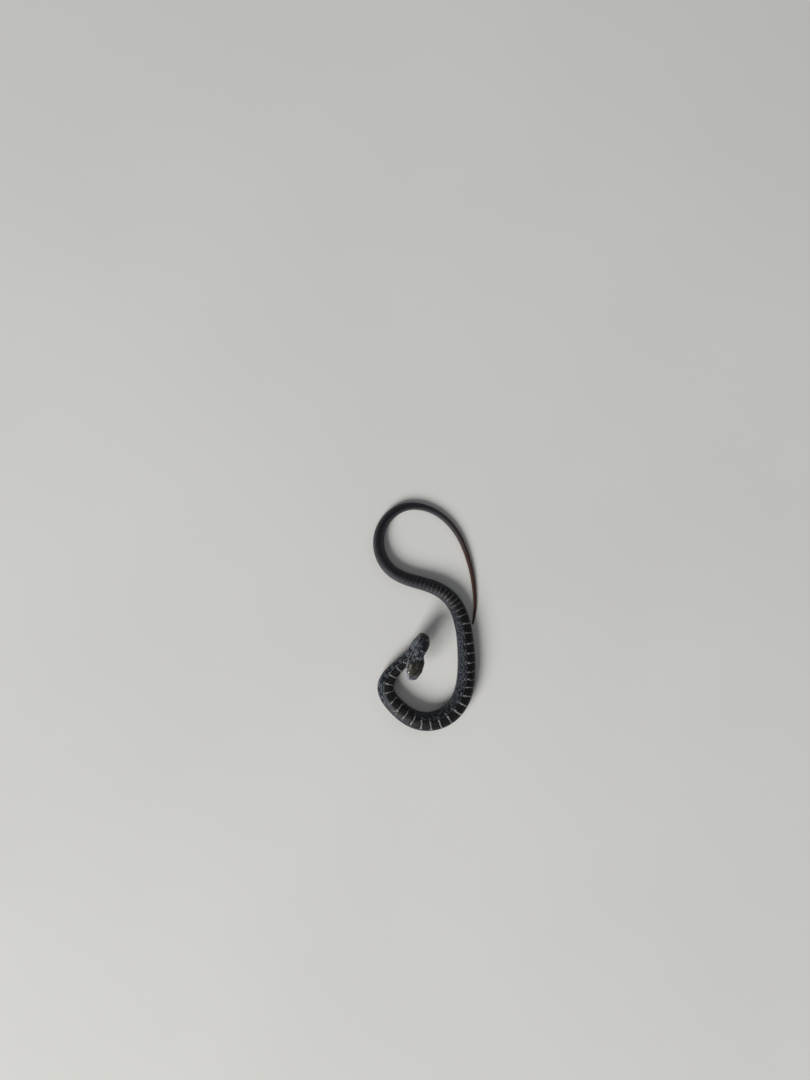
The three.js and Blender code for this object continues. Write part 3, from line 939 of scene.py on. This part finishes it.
def scale_points(name, first, last):
    """A cloud of points, one for each scale, that says how the scale there is turned, sized and marked."""
    sizes = bpy.context.scene.snake_sizes
    along, row = scale_roots(first, last)
    end = np.minimum(along + segment_at(along) * sizes.scale_overlap, body_length)
    halfway = (along + end) / 2
    degrees, end_degrees, middle_degrees = (row * row_step(place) for place in (along, end, halfway))
    middle_turn = np.radians(middle_degrees + roll_at(halfway))
    row_turn = np.radians(row_step(halfway))
    root = raised(along, np.radians(degrees + roll_at(along)), -root_depth)
    tip = raised(end, np.radians(end_degrees + roll_at(end)), -tip_depth)
    over, right, left = (raised(halfway, middle_turn + aside * row_turn, 0) for aside in (0, 1, -1))
    row_gap = np.linalg.norm(right - left, axis=1) / 2
    sagitta = np.linalg.norm(over - (right + left) / 2, axis=1)
    lengthwise = unit(tip - root)
    across = unit(np.cross(lengthwise, surface_normal(halfway, middle_turn)))
    outward = np.cross(across, lengthwise)
    length = np.linalg.norm(tip - root, axis=1)
    kept = length > least_scale
    mesh = bpy.data.meshes.new(name)
    mesh.from_pydata((root[kept] * mm).tolist(), [], [])
    notes = {
        "wide": row_gap * sizes.scale_spread * mm,
        "long": length * mm,
        "bow": sagitta / np.maximum(row_gap, least_gap) ** 2 / mm,
        "root_along": along,
        "root_around": degrees,
        "root_saddle": saddle_count(along),
        "reach_along": end - along,
        "reach_around": np.degrees(row_turn) * sizes.scale_spread / 2,
        "reach_saddle": saddle_count(end) - saddle_count(along),
    }
    for key, values in notes.items():
        note(mesh, key, values[kept])
    note(mesh, "turned", euler_angles(across, lengthwise, outward)[kept], "FLOAT_VECTOR")
    note(mesh, "outward", outward[kept], "FLOAT_VECTOR")
    return link_piece(name, mesh)


def scale_tree():
    """Geometry nodes that put a scale on each point, bend it round the body and mark it."""
    inputs = {"Points": "Geometry", "Scale Shape": "Object", "Thickness": "Float", "Unevenness": "Float"}
    inputs.update({"Seed": "Int", "Material": "Material"})
    tree, w, given, taken = new_group("scales_on_points", "GeometryNodeTree", inputs, {"Scales": "Geometry"})

    shape = w.value("GeometryNodeObjectInfo", {"Object": given["Scale Shape"]}, "Geometry")
    least, most = 1.0 - given["Unevenness"], given["Unevenness"] + 1.0
    # A Random Value's sockets for a number are 2 and 3, and its output 1
    chance = {2: least, 3: most, "Seed": given["Seed"]}
    growth = w.value("FunctionNodeRandomValue", chance, 1, data_type="FLOAT")
    size = w.vector(w.named("wide") * growth, w.named("long") * growth, given["Thickness"])
    turned = w.value("FunctionNodeEulerToRotation", [w.named("turned", "FLOAT_VECTOR")])
    placing = {"Points": given["Points"], "Instance": shape, "Rotation": turned, "Scale": size}
    placed = w.value("GeometryNodeInstanceOnPoints", placing)
    tone = w.value("FunctionNodeRandomValue", {"Seed": given["Seed"] + 1.0}, 1, data_type="FLOAT")
    toned = w.store(placed, "tone", tone, "INSTANCE")
    joined = w.value("GeometryNodeRealizeInstances", [toned])

    sideways = w.named("side") * 0.5 * w.named("wide")
    drop = sideways * sideways * w.named("bow")
    offset = w.scale(w.named("outward", "FLOAT_VECTOR"), drop * -1.0)
    marked = w.value("GeometryNodeSetPosition", {"Geometry": joined, "Offset": offset})
    for name, share in (("along", "lie"), ("saddle", "lie"), ("around", "side")):
        place = w.named("root_" + name) + w.named(share) * w.named("reach_" + name)
        marked = w.store(marked, name, place)
    finish = {"Geometry": marked, "Material": given["Material"]}
    w.feed(taken["Scales"], w.value("GeometryNodeSetMaterial", finish))
    return tree


# What the points say to the scale tree and the finished scales no longer need
spare_notes = ("wide", "long", "bow", "turned", "outward")
spare_notes += ("reach_along", "reach_around", "reach_saddle", "root_saddle")


def grow_scales(name, first, last, shape, tree):
    """Grows the scales that are rooted between two places, as one plain mesh."""
    sizes = bpy.context.scene.snake_sizes
    points = scale_points(name + "_points", first, last)
    grown = points.modifiers.new("scales", "NODES")
    grown.node_group = tree
    values = {
        "Scale Shape": shape,
        "Thickness": sizes.scale_thickness,
        "Unevenness": sizes.unevenness,
        "Seed": sizes.seed,
        "Material": scale_material(),
    }
    for item in tree.interface.items_tree:
        if item.name in values:
            grown[item.identifier] = values[item.name]
    evaluated = points.evaluated_get(bpy.context.evaluated_depsgraph_get())
    mesh = bpy.data.meshes.new_from_object(evaluated)
    mesh.name = name
    points.modifiers.remove(grown)
    bpy.data.objects.remove(points)
    if not len(mesh.polygons):
        raise RuntimeError(name + " came out empty")
    add_bake_map(mesh)
    for spare in spare_notes:
        mesh.attributes.remove(mesh.attributes[spare])
    places = np.zeros(len(mesh.vertices) * 3, np.float32)
    mesh.vertices.foreach_get("co", places)
    places[2::3] = np.maximum(places[2::3], lowest * mm)
    mesh.vertices.foreach_set("co", places)
    mesh.update()
    piece = link_piece(name, mesh)
    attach(piece, body_name)


# The wide scutes of the belly and the paired ones under the tail


def scute_grid(start, end, from_degrees, to_degrees, columns, rows):
    """The outer and inner points of one scute, with its own lie and side shares."""
    lie, side = np.meshgrid(np.linspace(0, 1, rows), np.linspace(-1, 1, columns), indexing="ij")
    rounded = scute_round * (1 - np.cos(side * np.pi / 2)) * (end - start)
    along = start + lie * (end - start) - rounded * lie
    degrees = (from_degrees + to_degrees) / 2 + side * (to_degrees - from_degrees) / 2
    turn = np.radians(degrees + roll_at(along))
    top = scute_root + scute_rise * lie
    held = np.minimum(along, body_length)
    grid = np.stack([raised(held, turn, top), raised(held, turn, top - scute_thickness)])
    return grid, along, degrees, lie, side


def scute_faces(rows, columns, first):
    """The faces of one scute: its outer and inner sides, and the rim that joins them."""
    layer = rows * columns
    rim = list(range(first, first + columns))
    rim += [first + row * columns + columns - 1 for row in range(1, rows)]
    rim += range(first + layer - 2, first + layer - columns - 1, -1)
    rim += [first + row * columns for row in range(rows - 2, 0, -1)]
    faces = grid_faces(rows, columns, first) + grid_faces(rows, columns, first + layer)
    faces += [(here, there, there + layer, here + layer) for here, there in zip(rim, rim[1:] + rim[:1])]
    return faces


def lay_scutes(name, plates, columns, rows):
    """Joins plates given as start, end, from and to degrees into one piece."""
    places, faces, marks = [], [], []
    chance = np.random.default_rng(bpy.context.scene.snake_sizes.seed)
    for start, end, low, high in plates:
        grid, *told = scute_grid(start, end, low, high, columns, rows)
        faces += scute_faces(rows, columns, len(places) * 2 * rows * columns)
        places.append(grid.reshape(-1, 3))
        told += [start, ((low + high) / 2 + 180) % 360 - 180, chance.random()]
        told = [np.broadcast_to(value, (rows, columns)).ravel() for value in told]
        marks.append(np.tile(told, 2))
    piece = lay_mesh(name, np.concatenate(places), faces, scale_material())
    marks = np.concatenate(marks, axis=1)
    for key, values in zip(("along", "around", "lie", "side", "root_along", "root_around", "tone"), marks):
        note(piece.data, key, values)
    note(piece.data, "saddle", saddle_count(marks[0]))
    add_bake_map(piece.data)
    piece.data.set_sharp_from_angle(angle=math.radians(scute_sharp))
    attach(piece, body_name)


# Materials

line_black = (0.006, 0.006, 0.007, 1.0)
mouth_black = (0.01, 0.008, 0.008, 1.0)
crown_black = (0.005, 0.0045, 0.004, 1.0)
lip_grey = (0.12, 0.12, 0.14, 1.0)
iris_rim = (0.012, 0.009, 0.007, 1.0)
iris_ring = (0.16, 0.11, 0.06, 1.0)
pupil_black = (0.002, 0.002, 0.002, 1.0)


def tint(paint, amount=1.0):
    """A colour for a socket, made lighter or darker by an amount."""
    return (*(part * amount for part in paint), 1.0)


def marking_group():
    """The racer's markings by place on the body: saddles, bars, flank spots, belly and tail.

    Places along are millimetres from the nape, and places round are degrees from the middle of the back.
    """
    tree = bpy.data.node_groups.get("racer_markings")
    if tree:
        return tree
    paint = bpy.context.scene.snake_colours
    inputs = dict.fromkeys(("Along", "Around", "Saddle", "Tone"), "Float")
    tree, w, given, taken = new_group("racer_markings", "ShaderNodeTree", inputs, {"Color": "Color"})
    along, around, saddle, tone = (given[key] for key in inputs)

    # How far from the middle of the back, and from the nearest bar as a share of a saddle
    from_back = 180.0 - abs(180.0 - abs(around))
    wander = (w.noise(w.vector(along * 0.35, around * 0.02, 0.0), 1.0) - 0.5) * 0.42
    phase = w.math("FRACT", saddle + wander)
    from_bar = 0.5 - abs(phase - 0.5)
    fork = ((from_back - 28.0) | 0.0) * 0.0074
    inside = from_bar - fork

    # Bars fork at their lower ends, and the saddles are a little browner inside
    strength = along.step(128.0, 176.0, 1.0, 0.0)
    saddle_mask = inside.step(0.035, 0.075) * from_back.step(38.0, 50.0, 1.0, 0.0)
    thin = along.step(126.0, 140.0, 0.05, 0.085)
    bar_mask = (abs(inside) / thin).step(0.45, 1.15, 1.0, 0.0) * from_back.step(30.0, 52.0, 1.0, 0.0)
    dapple = w.noise(w.vector(along, around * 0.08, 7.0), 1.1, 2.0, 0.6).step(0.38, 0.6)
    middle = inside.step(0.14, 0.26) * from_back.step(16.0, 34.0, 1.0, 0.0)
    middle = middle * (dapple * 0.65 + 0.35) * along.step(56.0, 84.0, 1.0, 0.3)

    def spot_row(across, reach_across, at_bar, reach_along):
        """A row of round spots along the flank, at the bars or halfway between them."""
        lengthwise = (from_bar if at_bar else 0.5 - from_bar) / reach_along
        crosswise = (from_back - across) / reach_across
        apart = w.math("SQRT", lengthwise * lengthwise + crosswise * crosswise)
        return apart.step(0.65, 1.05, 1.0, 0.0)

    def strewn(across, per_mm, least, more):
        """Round spots strewn over the flank, one to a cell; across is millimetres to a degree."""
        sizes = {"Vector": w.vector(along, around * across, 0.0), "Scale": per_mm, "Randomness": 0.7}
        cells = w.node("ShaderNodeTexVoronoi", sizes, feature="F1", voronoi_dimensions="2D")
        distance, chosen = (Value(w, cells.outputs[name]) for name in ("Distance", "Color"))
        reach = w.value("ShaderNodeSeparateXYZ", [chosen]) * more + least
        return (distance / reach).step(0.75, 1.1, 1.0, 0.0)

    # Bold spots on the neck and fine ones behind it
    rows = spot_row(64.0, 12.0, True, 0.24) | spot_row(88.0, 10.0, False, 0.22)
    rows = (rows | spot_row(108.0, 8.0, True, 0.18)) * along.step(44.0, 84.0, 1.0, 0.35)
    fine_spots = strewn(0.075, 0.66, 0.25, 0.24) * along.step(40.0, 60.0)
    bold_spots = strewn(0.05, 0.44, 0.34, 0.14) * along.step(44.0, 64.0, 1.0, 0.0)
    spots = (rows | fine_spots | bold_spots) * from_back.step(34.0, 46.0)

    # The ground, from the blue grey flank to the plain rear body and the red brown tip of the tail
    speckle_place = w.vector(along * 1.1, around * 0.085, 3.0)
    speckle = w.noise(speckle_place, 1.6, 3.0, 0.65).step(0.5, 0.66)
    flank = w.mix(from_back.step(60.0, 120.0), tint(paint.flank), tint(paint.flank, 1.45))
    flank = w.scale(flank, along.step(20.0, 60.0, 2.0, 0.95))
    flank = w.mix(speckle * 0.4, flank, tint(paint.flank, 0.35))
    ground = w.mix(along.step(128.0, 176.0), flank, tint(paint.rear))
    ground = w.mix(along.step(212.0, 258.0), ground, tint(paint.tail_tip))
    # Painted shade: on the rear body the middle of the back darkens toward the saddles' near-black, less so
    # toward the tip of the tail
    dusk = from_back.step(8.0, 72.0, 0.93, 0.0) * along.step(112.0, 146.0)
    dusk = dusk * along.step(206.0, 256.0, 1.0, 0.25)
    ground = w.mix(dusk, ground, tint(paint.saddle))
    by_nape = abs(along + 0.4).step(1.1, 2.4, 0.6, 0.0) * abs(from_back - 70.0).step(16.0, 34.0, 1.0, 0.0)
    ground = w.mix(by_nape, ground, tint(paint.bar, 0.55))

    # The saddles break up into spots on the raised neck
    gaps = 1.0 - strewn(0.06, 0.36, 0.42, 0.14)
    whole_saddle = 1.0 - gaps * along.step(16.0, 27.0, 0.85, 0.0)
    marked = w.mix(spots * strength * 0.95, ground, tint(paint.spot))
    marked = w.mix(saddle_mask * whole_saddle * strength, marked, tint(paint.saddle))
    marked = w.mix(middle * whole_saddle * strength, marked, tint(paint.saddle_middle))
    bar_mask = bar_mask * along.step(118.0, 168.0, 1.0, 0.0)
    bar_mask = bar_mask * along.step(8.0, 34.0, 0.4, 1.0) * along.step(78.0, 104.0, 1.0, 0.72)
    marked = w.mix(bar_mask, marked, tint(paint.bar))

    belly_marks = w.noise(speckle_place, 0.9, 2.0, 0.5).step(0.55, 0.66)
    belly = w.mix(belly_marks * 0.7, tint(paint.belly), tint(paint.flank))
    belly = w.mix(along.step(190.0, 262.0), belly, tint(paint.tail_tip, 2.2))
    # Painted shade: the belly under the raised neck is darkened toward the flank's grey
    painted_throat_shade = along.step(0.5, 4.0, 0.0, 0.9) * along.step(18.0, 36.0, 1.0, 0.0)
    belly = w.mix(painted_throat_shade, belly, tint(paint.flank, 0.8))
    uneven = w.scale(marked, tone * 0.36 + 0.82)
    w.feed(taken["Color"], w.mix(from_back.step(121.0, 133.0), uneven, belly))
    return tree


def markings(w, tone):
    """The body's markings at the places that a mesh's own notes give."""
    places = {name.title(): w.attribute(name) for name in ("along", "around", "saddle")}
    return w.value("ShaderNodeGroup", {**places, "Tone": tone}, "Color", node_tree=marking_group())


def start_material(name):
    material = bpy.data.materials.new(name)
    material.use_nodes = True
    tree = material.node_tree
    return material, Wiring(tree), tree.nodes["Principled BSDF"]


def object_place(w):
    return w.value("ShaderNodeTexCoord", output="Object")


def scale_material():
    """Smooth, faintly glossy scales with the body's markings."""
    material = bpy.data.materials.get("scale_finish")
    if material:
        return material
    material, w, shader = start_material("scale_finish")
    lie = w.attribute("lie")
    # Painted shade and highlight: each scale darkens at its tip and sides, partly its own fine dark edge and
    # partly painted shadow at the overlaps, and its root is darker than its lighter middle
    edge = lie.step(0.84, 1.0) | abs(w.attribute("side")).step(0.72, 1.0) | lie.step(0.3, 0.52, 0.8, 0.0)
    finish = {
        "Base Color": w.mix(edge * 0.5, markings(w, w.attribute("tone")), line_black),
        "Roughness": w.noise(object_place(w), 9000.0, 2.0, 0.6).step(0.3, 0.7, 0.36, 0.5),
        "Specular IOR Level": 0.14,
        "Coat Weight": 0.02,
        "Coat Roughness": 0.25,
    }
    w.fill(shader, finish)
    return material


def skin_material():
    """The skin under the scales, and the shields of the head."""
    material, w, shader = start_material("skin_finish")
    paint = bpy.context.scene.snake_colours
    along, lip_height = w.attribute("along"), w.attribute("lip_height")
    place = object_place(w)

    # The crown: olive, with black blotches and paler olive round them
    broad = w.noise(place, 620.0, 2.0, 0.55)
    fine = w.noise(place, 2600.0, 3.0, 0.6).step(0.4, 0.66)
    crown = w.mix(fine * 0.6, tint(paint.crown), tint(paint.crown_pale))
    crown = w.mix(abs(broad - 0.44).step(0.0, 0.06, 0.42, 0.0), crown, tint(paint.crown_pale, 1.2))
    crown = w.mix(broad.step(0.48, 0.55) * 0.86, crown, crown_black)
    crown = w.scale(crown, w.attribute("shield") * 0.4 + 0.8)
    snout = along.step(-10.2, -7.6, 0.9, 0.0) * broad.step(0.45, 0.56, 1.0, 0.15)
    crown = w.mix(snout, crown, tint(paint.snout))

    # The lips and chin, the face in front of the eye and the pale patch below it
    dusk = w.noise(place, 1500.0, 2.0, 0.5).step(0.5, 0.62) * 0.45
    lips = w.mix(dusk, tint(paint.lips), lip_grey)
    # Painted shade: the lips behind the eye are darkened toward grey
    painted_shade_behind_eye = along.step(-7.6, -5.6) * lip_height.step(-1.7, -1.1)
    lips = w.mix(painted_shade_behind_eye * 0.8, lips, tint(paint.painted_lip_shade))
    pale_lip = lip_height.step(0.55, 0.85, 1.0, 0.0) * along.step(-2.6, -1.6, 1.0, 0.0)
    face = lip_height.step(1.45, 2.15, 0.68, 0.0) * along.step(-8.0, -6.8, 1.0, 0.0)
    by_eye = w.attribute("from_eye").step(1.3, 1.6, 0.5, 0.0) * lip_height.step(1.8, 2.2, 1.0, 0.0)
    head = w.mix(face, w.mix(pale_lip, crown, lips), lips)
    head = w.mix(by_eye, head, tint(paint.lips, 0.7))

    # The seams between shields and the line of the mouth
    seam = w.attribute("seam").step(0.03, 0.1, 1.0, 0.0) * lip_height.step(-0.9, -0.4, 0.35, 0.85)
    mouth = abs(lip_height).step(0.03, 0.09, 1.0, 0.0) * along.step(-3.2, -2.6, 1.0, 0.0)
    head = w.mix(mouth, w.mix(seam, head, line_black), mouth_black)

    between_scales = w.mix(along.step(240.0, 272.0, 0.4, 0.0), markings(w, 0.5), tint(paint.flank, 1.2))
    grain = w.noise(place, 7000.0, 3.0, 0.6)
    bumps = {"Strength": 0.25, "Distance": 0.00003, "Height": grain}
    finish = {
        "Base Color": w.mix(along.step(-2.6, -1.4), head, between_scales),
        "Roughness": grain.step(0.3, 0.7, 0.36, 0.55),
        "Normal": w.value("ShaderNodeBump", bumps),
        "Specular IOR Level": 0.35,
        "Coat Weight": 0.08,
        "Coat Roughness": 0.25,
    }
    w.fill(shader, finish)
    return material


def eye_material():
    """A dark pupil in a brown iris under a clear, wet cap."""
    material, w, shader = start_material("eye_finish")
    paint = bpy.context.scene.snake_colours
    gaze, clock = w.attribute("gaze"), w.attribute("clock")
    streaks = w.noise(w.vector(clock * 5.0, gaze * 1.5, 0.0), 2.5, 3.0, 0.7)
    iris = w.mix(streaks.step(0.35, 0.7), tint(paint.iris), tint(paint.iris, 2.4))
    iris = w.mix(gaze.step(0.8, 0.97), iris, iris_rim)
    iris = w.mix(abs(gaze - 0.51).step(0.0, 0.06, 1.0, 0.0) * 0.4, iris, iris_ring)
    finish = {
        "Base Color": w.mix(gaze.step(0.45, 0.49, 1.0, 0.0), iris, pupil_black),
        "Roughness": 0.12,
        "Specular IOR Level": 0.6,
        "Coat Weight": 1.0,
        "Coat Roughness": 0.03,
    }
    w.fill(shader, finish)
    return material


def floor_material():
    """A pale floor, clouded a little."""
    material, w, shader = start_material("floor_finish")
    paint = bpy.context.scene.snake_colours
    cloud = w.noise(object_place(w), 6.0, 3.0, 0.5).step(0.3, 0.7)
    clouded = w.mix(cloud, tint(paint.floor), tint(paint.floor, 1.04))
    w.fill(shader, {"Base Color": clouded, "Roughness": 0.85})
    return material


# The operators, one for each group of pieces


class SNAKE_OT_skin(bpy.types.Operator):
    """Build the one skin over the head, body and tail"""

    bl_idname = "snake.skin"
    bl_label = "Skin"

    def execute(self, context):
        build_skin()
        return {"FINISHED"}


class SNAKE_OT_scales(bpy.types.Operator):
    """Cover the back and flanks with scales"""

    bl_idname = "snake.scales"
    bl_label = "Scales"

    def execute(self, context):
        shape = scale_shape()
        tree = scale_tree()
        grow_scales("trunk_scales", coat_start, vent, shape, tree)
        grow_scales("tail_scales", vent, coat_end, shape, tree)
        bpy.data.objects.remove(shape)
        return {"FINISHED"}


class SNAKE_OT_scutes(bpy.types.Operator):
    """Lay the wide scutes of the belly and the pairs under the tail"""

    bl_idname = "snake.scutes"
    bl_label = "Scutes"

    def execute(self, context):
        belly, under_tail = [], []
        for place in segment_places(coat_start, coat_end - last_scute):
            end = place + float(segment_at(place)) * scute_overlap
            reach = 180 - float(reach_at(place)) + scute_tuck
            if place < vent:
                belly.append((place, end, 180 - reach, 180 + reach))
            else:
                under_tail.append((place, end, 180 - reach, 180 - scute_gap))
                under_tail.append((place, end, 180 + scute_gap, 180 + reach))
        lay_scutes("belly_scutes", belly, columns=13, rows=4)
        lay_scutes("tail_scutes", under_tail, columns=5, rows=3)
        return {"FINISHED"}


class SNAKE_OT_eyes(bpy.types.Operator):
    """Set the two eyes in the head"""

    bl_idname = "snake.eyes"
    bl_label = "Eyes"

    def execute(self, context):
        rings, around = 24, 40
        slant = np.repeat(np.linspace(0, np.pi, rings + 2)[1:-1], around)
        clock = np.tile(np.linspace(0, 2 * np.pi, around, endpoint=False), rings)
        balls = [np.sin(slant) * np.cos(clock), np.cos(slant), np.sin(slant) * np.sin(clock)]
        balls = np.concatenate([np.stack(balls, axis=1), [[0, 1, 0], [0, -1, 0]]])
        gaze = np.where(balls[:, 1] > 0, np.hypot(balls[:, 0], balls[:, 2]), 1.0)
        front_point = rings * around
        last = front_point - around
        faces = grid_faces(rings, around, closed=True)
        faces += [(front_point, (k + 1) % around, k) for k in range(around)]
        faces += [(front_point + 1, last + k, last + (k + 1) % around) for k in range(around)]
        material = eye_material()
        for name, side in (("left", 1), ("right", -1)):
            places = eye_middle(side) + (balls * eye_half) @ eye_axes(side)
            ball = lay_mesh("eyeball_" + name, places, faces, material)
            note(ball.data, "gaze", gaze)
            note(ball.data, "clock", np.append(clock, [0, 0]))
            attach(ball, body_name)
            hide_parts("eye_" + name)
        return {"FINISHED"}


# The stage: what the photo's camera saw, straight down from above the floor
camera_over = (-9.3, 35.6)
camera_height = 367.0
view_height = 507.6  # millimetres of floor from the top to the bottom of the photo
sensor = 36.0
floor_half = 3000.0
lamps = {  # place and size in metres, and power
    "key": ((-1.75, -2.2, 1.8), 1.9, 150.0),
    "fill": ((1.6, 1.2, 2.2), 1.6, 5.0),
}
sky_colour = (0.9, 0.94, 1.0, 1.0)
sky_strength = 0.18


class SNAKE_OT_stage(bpy.types.Operator):
    """Lay the pale floor and set the soft lights and the camera"""

    bl_idname = "snake.stage"
    bl_label = "Stage"

    def execute(self, context):
        corners = [(x * floor_half, y * floor_half, 0) for x, y in ((-1, -1), (1, -1), (1, 1), (-1, 1))]
        lay_mesh("floor", corners, [(0, 1, 2, 3)], floor_material())

        view = bpy.data.cameras.new("camera")
        view.sensor_width = sensor
        view.lens = sensor / 2 / (view_height / 2 / camera_height)
        view.clip_start, view.clip_end = 0.01, 20
        camera = link_piece("camera", view)
        camera.location = (camera_over[0] * mm, camera_over[1] * mm, camera_height * mm)
        context.scene.camera = camera

        for name, (place, size, power) in lamps.items():
            lamp = bpy.data.lights.new(name, "AREA")
            lamp.shape = "DISK"
            lamp.size = size
            lamp.energy = power
            light = link_piece(name, lamp)
            light.location = place
            x, y, z = place
            light.rotation_euler = (math.atan2(math.hypot(x, y), z), 0, math.atan2(-y, -x) - math.pi / 2)

        world = bpy.data.worlds.new("studio")
        world.use_nodes = True
        sky = world.node_tree.nodes["Background"]
        sky.inputs["Color"].default_value = sky_colour
        sky.inputs["Strength"].default_value = sky_strength
        context.scene.world = world
        context.scene.view_settings.view_transform = "Standard"
        return {"FINISHED"}


class SNAKE_PT_panel(bpy.types.Panel):
    """Lists the steps that build the snake"""

    bl_label = "Young Racer Snake"
    bl_idname = "SNAKE_PT_panel"
    bl_space_type = "VIEW_3D"
    bl_region_type = "UI"
    bl_category = "Snake"

    def draw(self, context):
        layout = self.layout
        for step in steps:
            layout.operator(step.bl_idname)
        for group in (context.scene.snake_sizes, context.scene.snake_colours):
            for key in group.__annotations__:
                layout.prop(group, key)


steps = (SNAKE_OT_skin, SNAKE_OT_scales, SNAKE_OT_scutes, SNAKE_OT_eyes, SNAKE_OT_stage)
classes = (SnakeSizes, SnakeColours, *steps, SNAKE_PT_panel)


def register():
    for part in classes:
        bpy.utils.register_class(part)
    bpy.types.Scene.snake_sizes = bpy.props.PointerProperty(type=SnakeSizes)
    bpy.types.Scene.snake_colours = bpy.props.PointerProperty(type=SnakeColours)


def unregister():
    del bpy.types.Scene.snake_colours
    del bpy.types.Scene.snake_sizes
    for part in reversed(classes):
        bpy.utils.unregister_class(part)


def main():
    register()
    for step in steps:
        area, name = step.bl_idname.split(".")
        getattr(getattr(bpy.ops, area), name)()


if __name__ == "__main__":
    main()
